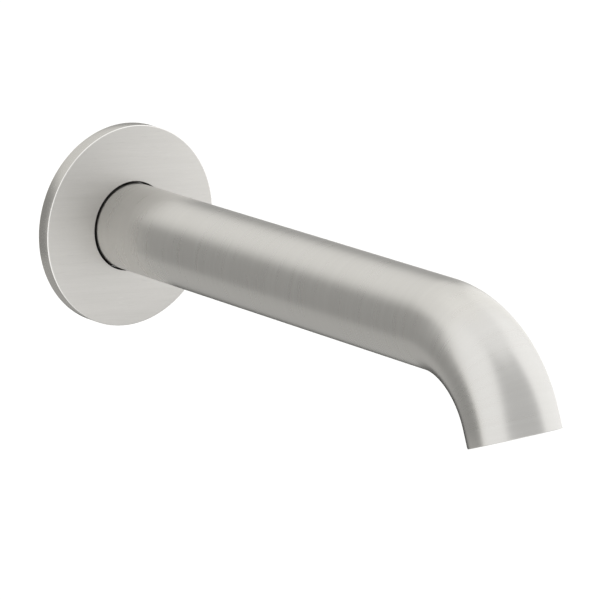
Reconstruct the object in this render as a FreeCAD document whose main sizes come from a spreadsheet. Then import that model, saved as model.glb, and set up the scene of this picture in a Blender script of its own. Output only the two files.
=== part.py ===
import FreeCAD, Part
import math
import os

import Sketcher

# A wall mounted bath spout: a bent stainless tube that stands out of a round wall flange, plugs
# onto a brass nipple screwed into the wall fitting, and carries a stream straightener at its mouth.
#
# Frame: the origin is the centre of the flange's wall face. +Y runs into the wall, +Z is up, and
# the spout reaches out along -Y. Lengths are millimetres and angles are degrees.

SIZES = [
    # Spout tube. Its straight run is counted from the wall face to the start of the bend.
    ("tube_diameter", 30.0),
    ("tube_wall", 1.5),
    ("straight_length", 168.5),
    ("bend_radius", 35.5),
    ("bend_angle", 69.0),
    ("outlet_length", 6.5),
    ("tube_set_back", 1.0),
    ("mouth_edge_break", 0.2),
    # Clearances: at brazed joints, under sliding seals, and around pieces that lie loose.
    ("braze_gap", 0.03),
    ("seal_clearance", 0.05),
    ("piece_gap", 0.05),
    # Wall flange, a shallow pan with a thick hub around the tube.
    ("flange_diameter", 70.0),
    ("flange_thickness", 5.3),
    ("flange_plate", 2.0),
    ("flange_rim", 2.0),
    ("flange_edge_break", 0.25),
    ("flange_bore_gap", 0.6),
    ("hub_wall", 4.9),
    ("hub_set_back", 0.8),
    ("grip_groove_depth", 1.8),
    ("grip_groove_width", 2.2),
    ("wall_seal_margin", 1.0),
    # Inlet socket, the turned insert brazed into the wall end of the tube.
    ("socket_wall", 2.87),
    ("socket_clearance", 0.1),
    ("socket_lead_length", 2.0),
    ("socket_lead_depth", 1.0),
    ("socket_front_break", 0.5),
    ("socket_end_space", 2.5),
    ("socket_throat_length", 3.5),
    ("socket_throat_step", 2.1),
    # Positions along the nipple, each counted from the piece before it, out from the flange's face.
    ("screw_ahead", 7.7),
    ("seal_ahead", 7.0),
    ("seal_spacing", 8.0),
    ("spigot_end_land", 6.0),
    # Nipple. Its thread is a half inch pipe thread, drawn as a plain cylinder.
    ("inlet_thread_diameter", 20.955),
    ("inlet_thread_length", 14.0),
    ("thread_end_break", 1.0),
    ("relief_diameter", 18.2),
    ("relief_wall", 3.1),
    ("relief_length", 3.0),
    ("collar_depth", 1.0),
    ("collar_thickness", 4.0),
    ("collar_step", 2.7),
    ("spigot_wall", 4.5),
    ("spigot_lead_length", 2.4),
    ("spigot_lead_depth", 1.2),
    ("seal_groove_depth", 1.8),
    ("seal_groove_width", 2.6),
    ("seal_groove_floor_gap", 0.02),
    ("seal_groove_side_gap", 0.15),
    ("key_depth", 10.0),
    ("thread_seal_thickness", 2.0),
    ("thread_seal_width", 2.3),
    ("thread_seal_gap", 0.22),
    # Grub screw, M5, under the tube.
    ("screw_diameter", 5.0),
    ("screw_length", 4.0),
    ("screw_thread_gap", 0.05),
    ("screw_tip_gap", 0.12),
    ("screw_hole_gap", 0.25),
    ("screw_key_flats", 2.5),
    ("screw_key_depth", 2.0),
    ("screw_end_break", 0.4),
    # Outlet seat, the threaded ring brazed into the mouth of the tube.
    ("seat_wall", 1.41),
    ("seat_recess", 0.8),
    ("seat_thread_start", 4.5),
    ("seat_relief", 0.34),
    ("seat_shoulder", 1.2),
    ("seat_opening_step", 2.7),
    ("aerator_thread_gap", 0.06),
    # Aerator housing and the loose pieces stacked inside it.
    ("housing_recess", 1.0),
    ("housing_height", 7.4),
    ("housing_wall", 1.3),
    ("housing_skirt_step", 0.2),
    ("housing_ledge", 0.8),
    ("housing_ledge_width", 1.1),
    ("housing_edge_break", 0.3),
    ("key_slot_width", 1.6),
    ("key_slot_overrun", 0.5),
    ("key_slot_land", 0.2),
    ("aerator_seal_thickness", 1.5),
    ("aerator_seal_width", 2.8),
    ("sleeve_wall", 1.65),
    ("sleeve_ledge", 0.6),
    ("stack_ring_wall", 0.8),
    ("grid_height", 1.6),
    ("grid_pitch", 2.4),
    ("grid_web", 0.35),
    ("screen_thickness", 0.3),
    ("screen_pitch", 1.3),
    ("screen_wire", 0.4),
    ("spacer_height", 0.8),
    ("jet_disc_height", 1.5),
    ("jet_plate", 0.6),
    ("jet_diameter", 1.0),
    ("strainer_rim_height", 0.6),
    ("strainer_crown_height", 2.2),
    ("strainer_wall", 0.6),
    ("strainer_crown_gap", 0.1),
    ("strainer_slope", 1.1),
    ("strainer_hole_diameter", 0.9),
]

# Counts, and places given as a share of a radius.
KEY_SLOTS = 12
INNER_JETS = 9
INNER_JETS_SHARE = 0.42
OUTER_JETS = 18
OUTER_JETS_SHARE = 0.8
SIEVE_RINGS = 3
SIEVE_HOLES_PER_RING = 6

# The corners of a rubber ring are rounded by this share of its section's smaller side.
RING_CORNER_SHARE = 0.42

# Cutting shapes stand out of a disc by this much at each end.
CUT_MARGIN = 1

# How close two volumes or two lengths have to be to count as the same.
VOLUME_TOLERANCE = 1e-6
LENGTH_TOLERANCE = 1e-4

doc = FreeCAD.newDocument("bath_spout")
sizes = doc.addObject("Spreadsheet::Sheet", "sizes")
for row, (name, amount) in enumerate(SIZES, start=1):
    sizes.set(f"A{row}", name)
    sizes.set(f"B{row}", str(amount))
    sizes.setAlias(f"B{row}", name)
doc.recompute()

# Shared measures, as expressions over the sheet.

# Radii of the tube and of what is brazed into it.
TUBE_OUTER = "sizes.tube_diameter / 2"
TUBE_INNER = "(sizes.tube_diameter / 2 - sizes.tube_wall)"
INSERT_OUTER = f"({TUBE_INNER} - sizes.braze_gap)"

# The flange's hub and the groove for its grip ring, halfway along the hub.
FLANGE_BORE = f"({TUBE_OUTER} + sizes.flange_bore_gap)"
HUB_OUTER = f"({FLANGE_BORE} + sizes.hub_wall)"
GRIP_GROOVE_BOTTOM = f"({FLANGE_BORE} + sizes.grip_groove_depth)"
HUB_MIDDLE = "(-(sizes.flange_thickness + sizes.hub_set_back) / 2)"
GRIP_GROOVE_FRONT = f"({HUB_MIDDLE} - sizes.grip_groove_width / 2)"
GRIP_GROOVE_BACK = f"({HUB_MIDDLE} + sizes.grip_groove_width / 2)"
FLANGE_HOLLOW = "(-sizes.flange_thickness + sizes.flange_plate)"
FLANGE_RIM_INNER = "(sizes.flange_diameter / 2 - sizes.flange_rim)"

# The socket and the nipple's spigot inside it.
SOCKET_BORE = f"({INSERT_OUTER} - sizes.socket_wall)"
SPIGOT = f"({SOCKET_BORE} - sizes.socket_clearance)"
SCREW_POSITION = "(sizes.flange_thickness + sizes.screw_ahead)"
REAR_SEAL_POSITION = f"({SCREW_POSITION} + sizes.seal_ahead)"
FRONT_SEAL_POSITION = f"({REAR_SEAL_POSITION} + sizes.seal_spacing)"
SPIGOT_END = f"({FRONT_SEAL_POSITION} + sizes.spigot_end_land)"
SOCKET_SHOULDER = f"({SPIGOT_END} + sizes.socket_end_space)"
SOCKET_FRONT = f"({SOCKET_SHOULDER} + sizes.socket_throat_length)"
SEAL_GROOVE_BOTTOM = f"({SPIGOT} - sizes.seal_groove_depth)"
INLET_THREAD = "(sizes.inlet_thread_diameter / 2)"
THREAD_SEAL_INNER = f"({INLET_THREAD} + sizes.thread_seal_gap)"
THREAD_SEAL_OUTER = f"({THREAD_SEAL_INNER} + sizes.thread_seal_width)"
COLLAR = f"max({SPIGOT} + sizes.collar_step; {THREAD_SEAL_OUTER})"
COLLAR_BACK = "(sizes.collar_depth + sizes.collar_thickness)"
WATERWAY = f"min({SPIGOT} - sizes.spigot_wall; sizes.relief_diameter / 2 - sizes.relief_wall)"
SCREW_TIP = f"({SPIGOT} + sizes.screw_tip_gap)"

# The mouth. Radii and heights of its pieces are counted in the outlet's own upright frame, whose
# origin is the centre of the mouth and whose +Z points upstream.
SEAT_BORE = f"({INSERT_OUTER} - sizes.seat_wall)"
AERATOR_THREAD = f"({SEAT_BORE} - sizes.aerator_thread_gap)"
HOUSING_TOP = "(sizes.housing_recess + sizes.housing_height)"
HOUSING_INNER = f"({AERATOR_THREAD} - sizes.housing_wall)"
HOUSING_LEDGE_TOP = "(sizes.housing_recess + sizes.housing_ledge)"
AERATOR_SEAL_BOTTOM = f"({HOUSING_TOP} + sizes.piece_gap)"
SEAT_SHOULDER_BOTTOM = f"({AERATOR_SEAL_BOTTOM} + sizes.aerator_seal_thickness + sizes.piece_gap)"
SEAT_TOP = f"({SEAT_SHOULDER_BOTTOM} + sizes.seat_shoulder)"
SLEEVE_OUTER = f"({HOUSING_INNER} - sizes.piece_gap)"
SLEEVE_INNER = f"({SLEEVE_OUTER} - sizes.sleeve_wall)"
SLEEVE_OPENING = f"({SLEEVE_INNER} - sizes.sleeve_ledge)"
STACK_OUTER = f"({SLEEVE_INNER} - sizes.piece_gap)"
STACK_RING_INNER = f"({STACK_OUTER} - sizes.stack_ring_wall)"
GRID_BOTTOM = f"({HOUSING_LEDGE_TOP} + sizes.sleeve_ledge)"
LOWER_SCREEN_BOTTOM = f"({GRID_BOTTOM} + sizes.grid_height)"
SPACER_BOTTOM = f"({LOWER_SCREEN_BOTTOM} + sizes.screen_thickness)"
UPPER_SCREEN_BOTTOM = f"({SPACER_BOTTOM} + sizes.spacer_height)"
JET_DISC_BOTTOM = f"({UPPER_SCREEN_BOTTOM} + sizes.screen_thickness)"
STRAINER_BOTTOM = f"({JET_DISC_BOTTOM} + sizes.jet_disc_height)"
STRAINER_RIM_TOP = f"({STRAINER_BOTTOM} + sizes.strainer_rim_height)"
STRAINER_TOP = f"({STRAINER_RIM_TOP} + sizes.strainer_crown_height)"

# The bend carries the tube's inner wall towards the bend's centre, so the top of the seat, which
# stands in the bend, is narrowed to stay clear of the outer side of the bend.
BEND_OUTER = f"(sizes.bend_radius + {TUBE_INNER})"
SEAT_RISE = f"({SEAT_TOP} - sizes.outlet_length)"
SEAT_TOP_OUTER = (
    f"(sqrt({BEND_OUTER} * {BEND_OUTER} - {SEAT_RISE} * {SEAT_RISE})"
    " - sizes.bend_radius - sizes.seal_clearance)"
)

# Centre of the mouth in the part's frame.
MOUTH_Y = (
    "-(sizes.straight_length + sizes.bend_radius * sin(sizes.bend_angle)"
    " + sizes.outlet_length * cos(sizes.bend_angle))"
)
MOUTH_Z = (
    "-(sizes.bend_radius * (1 - cos(sizes.bend_angle))"
    " + sizes.outlet_length * sin(sizes.bend_angle))"
)


def number(expression):
    """The present value of an expression over the sheet."""
    return float(sizes.evalExpression(expression))


def plane(body, role):
    """One of a body's own origin planes."""
    return [item for item in body.Origin.OriginFeatures if item.Role == role][0]


def bind(item, **expressions):
    """Bind plain properties of an object to expressions over the sheet."""
    for name, expression in expressions.items():
        item.setExpression(name, expression)


def new_body(label):
    body = doc.addObject("PartDesign::Body", label)
    body.Label = label
    return body


def attach(item, body, role, offset="0"):
    """Attach a sketch or a primitive to an origin plane, offset along the plane's normal."""
    item.AttachmentSupport = (plane(body, role), [""])
    item.MapMode = "FlatFace"
    item.setExpression("AttachmentOffset.Base.z", offset)


def new_sketch(body, name, role, offset="0"):
    sketch = body.newObject("Sketcher::SketchObject", name)
    attach(sketch, body, role, offset)
    return sketch


def constrain(sketch, kind, *places, size):
    """Add a dimension to a sketch and bind it to an expression."""
    index = sketch.addConstraint(Sketcher.Constraint(kind, *places, number(size)))
    sketch.setExpression(f"Constraints[{index}]", size)


def pin_point(sketch, edge, end, across, along):
    """Fix an edge's end point at (across, along); a coordinate of "0" puts it on the axis."""
    vertical_axis = -2
    horizontal_axis = -1
    if across == "0":
        sketch.addConstraint(Sketcher.Constraint("PointOnObject", edge, end, vertical_axis))
    else:
        constrain(sketch, "DistanceX", -1, 1, edge, end, size=across)
    if along == "0":
        sketch.addConstraint(Sketcher.Constraint("PointOnObject", edge, end, horizontal_axis))
    else:
        constrain(sketch, "DistanceY", -1, 1, edge, end, size=along)


def draw_outline(sketch, outline):
    """Draw a closed outline through the (across, along) expressions, in order."""
    corners = [FreeCAD.Vector(number(across), number(along), 0) for across, along in outline]
    count = len(corners)
    for index in range(count):
        following = corners[(index + 1) % count]
        sketch.addGeometry(Part.LineSegment(corners[index], following), False)
    for index in range(count):
        sketch.addConstraint(Sketcher.Constraint("Coincident", index, 2, (index + 1) % count, 1))
    for index, (across, along) in enumerate(outline):
        pin_point(sketch, index, 1, across, along)


def draw_circle(sketch, radius, across="0", along="0"):
    centre = FreeCAD.Vector(number(across), number(along), 0)
    circle = Part.Circle(centre, FreeCAD.Vector(0, 0, 1), number(radius))
    edge = sketch.addGeometry(circle, False)
    constrain(sketch, "Radius", edge, size=radius)
    pin_point(sketch, edge, 3, across, along)


def turn(body, role, outline):
    """Add a revolved feature: the outline's points are (radius, height along the axis)."""
    sketch = new_sketch(body, "Outline", role)
    draw_outline(sketch, outline)
    turning = body.newObject("PartDesign::Revolution", "Turning")
    turning.Profile = sketch
    turning.ReferenceAxis = (sketch, ["V_Axis"])
    turning.Angle = 360
    doc.recompute()


def turned_on_wall_axis(label, outline):
    """A turned piece on the wall axis: its points are (radius, y)."""
    body = new_body(label)
    turn(body, "XY_Plane", outline)
    return body


def turned_on_outlet_axis(label, outline):
    """A turned piece in the outlet's upright frame: its points are (radius, height)."""
    body = new_body(label)
    turn(body, "XZ_Plane", outline)
    tip_into_outlet(body)
    return body


def tip_into_outlet(item):
    """Stand a piece drawn in the outlet's upright frame in the mouth of the spout."""
    tilt = "sizes.bend_angle - 90"
    mouth = FreeCAD.Vector(0, number(MOUTH_Y), number(MOUTH_Z))
    turned = FreeCAD.Rotation(FreeCAD.Vector(1, 0, 0), number(tilt))
    item.Placement = FreeCAD.Placement(mouth, turned)
    item.setExpression("Placement.Base.y", MOUTH_Y)
    item.setExpression("Placement.Base.z", MOUTH_Z)
    item.setExpression("Placement.Rotation.Angle", tilt)


def drill(body, name, role, offset, depth, radius, across="0", along="0", backwards=False):
    """Pocket a round hole; by default it cuts against the plane's normal."""
    before = body.Shape.Volume
    sketch = new_sketch(body, name + "_circle", role, offset)
    draw_circle(sketch, radius, across, along)
    hole = body.newObject("PartDesign::Pocket", name)
    hole.Profile = sketch
    hole.Reversed = backwards
    bind(hole, Length=depth)
    doc.recompute()
    check_cut(body, name, before)
    return hole


def check_cut(body, name, before):
    """A cut that misses its body shows no error, so the volume has to fall."""
    if body.Shape.Volume > before - VOLUME_TOLERANCE:
        raise ValueError(f"{name} cuts nothing from {body.Label}")


def spin_copies(body, feature, axis_role, count):
    """Repeat a feature evenly around one of the body's own axes."""
    before = body.Shape.Volume
    pattern = body.newObject("PartDesign::PolarPattern", feature.Name + "_ring")
    pattern.Originals = [feature]
    pattern.Axis = (plane(body, axis_role), [""])
    pattern.Angle = 360
    pattern.Occurrences = count
    body.Tip = pattern
    doc.recompute()
    check_cut(body, pattern.Name, before)


def key_socket(body, role, offset, flats, depth):
    """Cut a hexagon socket, depth long, along the plane's normal from its offset."""
    before = body.Shape.Volume
    prism = body.newObject("PartDesign::SubtractivePrism", "KeySocket")
    prism.Polygon = 6
    attach(prism, body, role, offset)
    bind(prism, Circumradius=f"({flats}) / 2 / cos(30)", Height=depth)
    doc.recompute()
    check_cut(body, "KeySocket", before)


def edges_of_circle(body, radius, axis, height):
    """Names of the body's circular edges of one radius at one height along an axis."""
    names = []
    for index, edge in enumerate(body.Shape.Edges, start=1):
        if not isinstance(edge.Curve, Part.Circle):
            continue
        same_radius = abs(edge.Curve.Radius - radius) < LENGTH_TOLERANCE
        same_height = abs(edge.Curve.Center.dot(axis) - height) < LENGTH_TOLERANCE
        if same_radius and same_height:
            names.append(f"Edge{index}")
    return names


def dress(body, kind, edges, size):
    """Fillet or chamfer named edges of the body's last feature."""
    last = body.Tip
    feature = body.newObject(f"PartDesign::{kind}", kind)
    feature.Base = (last, edges)
    bind(feature, **{"Radius" if kind == "Fillet" else "Size": size})
    doc.recompute()


def rounded_ring(label, build, inner, outer, low, high):
    """A rubber ring whose section is a rectangle with well rounded corners."""
    body = build(label, [(inner, low), (outer, low), (outer, high), (inner, high)])
    corner = f"min({outer} - {inner}; {high} - ({low})) * {RING_CORNER_SHARE}"
    names = [f"Edge{index}" for index in range(1, len(body.Shape.Edges) + 1)]
    circles = [name for name in names if not is_seam(body.Shape.getElement(name))]
    dress(body, "Fillet", circles, corner)
    return body


def is_seam(edge):
    return not isinstance(edge.Curve, Part.Circle)


# The spout: the bent tube and the two turned inserts brazed into its ends.


def make_spout_tube():
    body = new_body("spout_tube")
    path = new_sketch(body, "Path", "YZ_Plane")
    straight = number("sizes.straight_length")
    radius = number("sizes.bend_radius")
    start = math.radians(90)
    end = start + math.radians(number("sizes.bend_angle"))
    centre = FreeCAD.Vector(-straight, -radius, 0)
    bend_end = centre + FreeCAD.Vector(math.cos(end), math.sin(end), 0) * radius
    outlet_way = FreeCAD.Vector(-math.sin(end), math.cos(end), 0)
    mouth = bend_end + outlet_way * number("sizes.outlet_length")
    back = FreeCAD.Vector(-number("sizes.tube_set_back"), 0, 0)
    circle = Part.Circle(centre, FreeCAD.Vector(0, 0, 1), radius)
    path.addGeometry(Part.LineSegment(back, FreeCAD.Vector(-straight, 0, 0)), False)
    path.addGeometry(Part.ArcOfCircle(circle, start, end), False)
    path.addGeometry(Part.LineSegment(bend_end, mouth), False)
    path.addConstraint(Sketcher.Constraint("Tangent", 0, 2, 1, 1))
    path.addConstraint(Sketcher.Constraint("Tangent", 1, 2, 2, 1))
    path.addConstraint(Sketcher.Constraint("Horizontal", 0))
    pin_point(path, 0, 1, "-sizes.tube_set_back", "0")
    constrain(path, "Distance", 0, size="sizes.straight_length - sizes.tube_set_back")
    constrain(path, "Radius", 1, size="sizes.bend_radius")
    sweep = path.addConstraint(Sketcher.Constraint("Angle", 1, end - start))
    path.setExpression(f"Constraints[{sweep}]", "sizes.bend_angle")
    constrain(path, "Distance", 2, size="sizes.outlet_length")

    ring = new_sketch(body, "Section", "XZ_Plane", "sizes.tube_set_back")
    draw_circle(ring, TUBE_OUTER)
    draw_circle(ring, TUBE_INNER)
    pipe = body.newObject("PartDesign::AdditivePipe", "Pipe")
    pipe.Profile = ring
    pipe.Spine = path
    doc.recompute()

    drill(
        body, "ScrewHole", "XY_Plane", "0", TUBE_OUTER,
        "sizes.screw_diameter / 2 + sizes.screw_hole_gap", along="-" + SCREW_POSITION,
    )
    upstream = FreeCAD.Rotation(FreeCAD.Vector(1, 0, 0), number("sizes.bend_angle") - 90)
    axis = upstream.multVec(FreeCAD.Vector(0, 0, 1))
    height = FreeCAD.Vector(0, number(MOUTH_Y), number(MOUTH_Z)).dot(axis)
    mouth_edges = edges_of_circle(body, number(TUBE_OUTER), axis, height)
    mouth_edges += edges_of_circle(body, number(TUBE_INNER), axis, height)
    dress(body, "Chamfer", mouth_edges, "sizes.mouth_edge_break")
    return body


def make_inlet_socket():
    throat = f"({SOCKET_BORE} - sizes.socket_throat_step)"
    body = turned_on_wall_axis("inlet_socket", [
        (f"{SOCKET_BORE} + sizes.socket_lead_depth", "-sizes.tube_set_back"),
        (INSERT_OUTER, "-sizes.tube_set_back"),
        (INSERT_OUTER, f"-{SOCKET_FRONT} + sizes.socket_front_break"),
        (f"{INSERT_OUTER} - sizes.socket_front_break", f"-{SOCKET_FRONT}"),
        (throat, f"-{SOCKET_FRONT}"),
        (throat, f"-{SOCKET_SHOULDER}"),
        (SOCKET_BORE, f"-{SOCKET_SHOULDER}"),
        (SOCKET_BORE, "-sizes.tube_set_back - sizes.socket_lead_length"),
    ])
    drill(
        body, "ScrewHole", "XY_Plane", "0", TUBE_OUTER,
        "sizes.screw_diameter / 2 + sizes.screw_thread_gap", along="-" + SCREW_POSITION,
    )
    return body


def make_outlet_seat():
    opening = f"{SEAT_BORE} - sizes.seat_opening_step"
    relief = f"({SEAT_BORE} + sizes.seat_relief)"
    return turned_on_outlet_axis("outlet_seat", [
        (relief, "sizes.seat_recess"),
        (INSERT_OUTER, "sizes.seat_recess"),
        (INSERT_OUTER, "sizes.outlet_length"),
        (SEAT_TOP_OUTER, SEAT_TOP),
        (opening, SEAT_TOP),
        (opening, SEAT_SHOULDER_BOTTOM),
        (SEAT_BORE, SEAT_SHOULDER_BOTTOM),
        (SEAT_BORE, "sizes.seat_thread_start + sizes.seat_relief"),
        (relief, "sizes.seat_thread_start"),
    ])


# The wall connection: the nipple that is screwed into the wall fitting, and its seals.


def seal_groove(position):
    """Corners of an O-ring groove in the spigot, from its wall side to its room side."""
    back = f"-{position} + sizes.seal_groove_width / 2"
    front = f"-{position} - sizes.seal_groove_width / 2"
    return [
        (SPIGOT, back),
        (SEAL_GROOVE_BOTTOM, back),
        (SEAL_GROOVE_BOTTOM, front),
        (SPIGOT, front),
    ]


def make_wall_nipple():
    relief = "sizes.relief_diameter / 2"
    thread_front = f"{COLLAR_BACK} + sizes.relief_length"
    thread_back = f"{thread_front} + sizes.inlet_thread_length"
    outline = [
        (WATERWAY, thread_back),
        (f"{INLET_THREAD} - sizes.thread_end_break", thread_back),
        (INLET_THREAD, f"{thread_back} - sizes.thread_end_break"),
        (INLET_THREAD, thread_front),
        (relief, thread_front),
        (relief, COLLAR_BACK),
        (COLLAR, COLLAR_BACK),
        (COLLAR, "sizes.collar_depth"),
        (SPIGOT, "sizes.collar_depth"),
    ]
    outline += seal_groove(REAR_SEAL_POSITION)
    outline += seal_groove(FRONT_SEAL_POSITION)
    outline += [
        (SPIGOT, f"-{SPIGOT_END} + sizes.spigot_lead_length"),
        (f"{SPIGOT} - sizes.spigot_lead_depth", f"-{SPIGOT_END}"),
        (WATERWAY, f"-{SPIGOT_END}"),
    ]
    body = turned_on_wall_axis("wall_nipple", outline)
    key_start = f"{SPIGOT_END} - sizes.key_depth"
    key_socket(body, "XZ_Plane", key_start, f"2 * {WATERWAY}", "sizes.key_depth")
    return body


def make_nipple_seal(label, position):
    inner = f"{SEAL_GROOVE_BOTTOM} + sizes.seal_groove_floor_gap"
    outer = f"{SOCKET_BORE} - sizes.seal_clearance"
    half_width = "(sizes.seal_groove_width / 2 - sizes.seal_groove_side_gap)"
    low = f"-{position} - {half_width}"
    high = f"-{position} + {half_width}"
    return rounded_ring(label, turned_on_wall_axis, inner, outer, low, high)


def make_thread_seal():
    back = f"{COLLAR_BACK} + sizes.thread_seal_thickness"
    return turned_on_wall_axis("thread_seal", [
        (THREAD_SEAL_INNER, COLLAR_BACK),
        (THREAD_SEAL_OUTER, COLLAR_BACK),
        (THREAD_SEAL_OUTER, back),
        (THREAD_SEAL_INNER, back),
    ])


def make_grub_screw():
    """The screw is drawn with its flat point at its own origin and its head below it."""
    body = new_body("grub_screw")
    shank = new_sketch(body, "Shank", "XY_Plane", "-sizes.screw_length")
    draw_circle(shank, "sizes.screw_diameter / 2")
    pad = body.newObject("PartDesign::Pad", "Rod")
    pad.Profile = shank
    bind(pad, Length="sizes.screw_length")
    doc.recompute()
    radius = number("sizes.screw_diameter") / 2
    up = FreeCAD.Vector(0, 0, 1)
    ends = edges_of_circle(body, radius, up, 0)
    ends += edges_of_circle(body, radius, up, -number("sizes.screw_length"))
    dress(body, "Chamfer", ends, "sizes.screw_end_break")
    key_socket(body, "XY_Plane", "-sizes.screw_length", "sizes.screw_key_flats",
               "sizes.screw_key_depth")
    body.setExpression("Placement.Base.y", "-" + SCREW_POSITION)
    body.setExpression("Placement.Base.z", "-" + SCREW_TIP)
    return body


# The flange, its grip ring and its wall seal slide along the tube together.


def make_wall_flange():
    outer = "sizes.flange_diameter / 2"
    front = "-sizes.flange_thickness"
    hub_back = "-sizes.hub_set_back"
    body = turned_on_wall_axis("wall_flange", [
        (FLANGE_BORE, front),
        (outer, front),
        (outer, "0"),
        (FLANGE_RIM_INNER, "0"),
        (FLANGE_RIM_INNER, FLANGE_HOLLOW),
        (HUB_OUTER, FLANGE_HOLLOW),
        (HUB_OUTER, hub_back),
        (FLANGE_BORE, hub_back),
        (FLANGE_BORE, GRIP_GROOVE_BACK),
        (GRIP_GROOVE_BOTTOM, GRIP_GROOVE_BACK),
        (GRIP_GROOVE_BOTTOM, GRIP_GROOVE_FRONT),
        (FLANGE_BORE, GRIP_GROOVE_FRONT),
    ])
    wall_way = FreeCAD.Vector(0, 1, 0)
    rim = edges_of_circle(body, number(outer), wall_way, number(front))
    dress(body, "Chamfer", rim, "sizes.flange_edge_break")
    return body


def make_flange_grip_ring():
    inner = f"({TUBE_OUTER} + sizes.seal_clearance)"
    outer = f"{GRIP_GROOVE_BOTTOM} - sizes.piece_gap"
    low = f"{GRIP_GROOVE_FRONT} + sizes.piece_gap"
    high = f"{GRIP_GROOVE_BACK} - sizes.piece_gap"
    return rounded_ring("flange_grip_ring", turned_on_wall_axis, inner, outer, low, high)


def make_flange_wall_seal():
    inner = f"{HUB_OUTER} + sizes.wall_seal_margin"
    outer = f"{FLANGE_RIM_INNER} - sizes.wall_seal_margin"
    return turned_on_wall_axis("flange_wall_seal", [
        (inner, FLANGE_HOLLOW),
        (outer, FLANGE_HOLLOW),
        (outer, "0"),
        (inner, "0"),
    ])


# The aerator: a threaded housing with a sleeve and a stack of discs, and the washer above it.


def make_aerator_housing():
    skirt = f"({AERATOR_THREAD} - sizes.housing_skirt_step)"
    edge = "sizes.housing_edge_break"
    ledge_inner = f"({HOUSING_INNER} - sizes.housing_ledge_width)"
    body = turned_on_outlet_axis("aerator_housing", [
        (ledge_inner, "sizes.housing_recess"),
        (f"{skirt} - {edge}", "sizes.housing_recess"),
        (skirt, f"sizes.housing_recess + {edge}"),
        (skirt, "sizes.seat_thread_start - sizes.housing_skirt_step"),
        (AERATOR_THREAD, "sizes.seat_thread_start"),
        (AERATOR_THREAD, f"{HOUSING_TOP} - {edge}"),
        (f"{AERATOR_THREAD} - {edge}", HOUSING_TOP),
        (HOUSING_INNER, HOUSING_TOP),
        (HOUSING_INNER, HOUSING_LEDGE_TOP),
        (ledge_inner, HOUSING_LEDGE_TOP),
    ])
    before = body.Shape.Volume
    slot = new_sketch(body, "Slot", "XY_Plane", HOUSING_LEDGE_TOP)
    half_width = "sizes.key_slot_width / 2"
    inner = f"{ledge_inner} - sizes.key_slot_overrun"
    outer = f"{HOUSING_INNER} - sizes.key_slot_land"
    draw_outline(slot, [
        (inner, f"-{half_width}"),
        (outer, f"-{half_width}"),
        (outer, half_width),
        (inner, half_width),
    ])
    notch = body.newObject("PartDesign::Pocket", "KeySlot")
    notch.Profile = slot
    bind(notch, Length="sizes.housing_ledge")
    doc.recompute()
    check_cut(body, "KeySlot", before)
    spin_copies(body, notch, "Z_Axis", KEY_SLOTS)
    return body


def make_aerator_seal():
    outer = f"({AERATOR_THREAD} - sizes.housing_edge_break)"
    inner = f"{outer} - sizes.aerator_seal_width"
    top = f"{AERATOR_SEAL_BOTTOM} + sizes.aerator_seal_thickness"
    return turned_on_outlet_axis("aerator_seal", [
        (inner, AERATOR_SEAL_BOTTOM),
        (outer, AERATOR_SEAL_BOTTOM),
        (outer, top),
        (inner, top),
    ])


def make_aerator_sleeve():
    return turned_on_outlet_axis("aerator_sleeve", [
        (SLEEVE_OPENING, HOUSING_LEDGE_TOP),
        (SLEEVE_OUTER, HOUSING_LEDGE_TOP),
        (SLEEVE_OUTER, HOUSING_TOP),
        (SLEEVE_INNER, HOUSING_TOP),
        (SLEEVE_INNER, GRID_BOTTOM),
        (SLEEVE_OPENING, GRID_BOTTOM),
    ])


def stack_disc(name, height):
    """A plain round disc of the stack, standing on its own origin."""
    disc = doc.addObject("Part::Cylinder", name)
    bind(disc, Radius=STACK_OUTER, Height=height)
    return disc


def pierce(label, blank, tools, bottom):
    """Cut a set of tools from a disc and stand the result in the stack at its height."""
    hidden = doc.addObject("Part::Compound", label + "_tools")
    hidden.Links = tools
    cut = doc.addObject("Part::Cut", label)
    cut.Label = label
    cut.Base = blank
    cut.Tool = hidden
    tip_into_outlet(cut)
    cut.setExpression("Placement.Base.y", f"{MOUTH_Y} + {bottom} * cos(sizes.bend_angle)")
    cut.setExpression("Placement.Base.z", f"{MOUTH_Z} + {bottom} * sin(sizes.bend_angle)")
    doc.recompute()
    return cut


def make_flow_grid():
    """A honeycomb: hexagonal ways in rows, with a thin web between neighbours."""
    circumradius = "((sizes.grid_pitch - sizes.grid_web) / 2 / cos(30))"
    pitch = number("sizes.grid_pitch")
    row_height = pitch * math.cos(math.radians(30))
    reach = number(SLEEVE_OPENING) - number(circumradius)
    rows = math.floor(reach / row_height)
    cells = []
    for line in range(-rows, rows + 1):
        shift = 0.5 * (line % 2)
        half_count = math.floor(math.sqrt(reach ** 2 - (line * row_height) ** 2) / pitch - shift)
        for step in range(-half_count - (line % 2), half_count + 1):
            cell = doc.addObject("Part::Prism", "GridCell")
            cell.Polygon = 6
            cell.Placement.Rotation = FreeCAD.Rotation(FreeCAD.Vector(0, 0, 1), 30)
            bind(cell, Circumradius=circumradius, Height=f"sizes.grid_height + 2 * {CUT_MARGIN}")
            cell.setExpression("Placement.Base.x", f"sizes.grid_pitch * {step + shift}")
            cell.setExpression("Placement.Base.y", f"sizes.grid_pitch * cos(30) * {line}")
            cell.setExpression("Placement.Base.z", f"-{CUT_MARGIN}")
            cells.append(cell)
    return pierce("flow_grid", stack_disc("GridBlank", "sizes.grid_height"), cells, GRID_BOTTOM)


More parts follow.
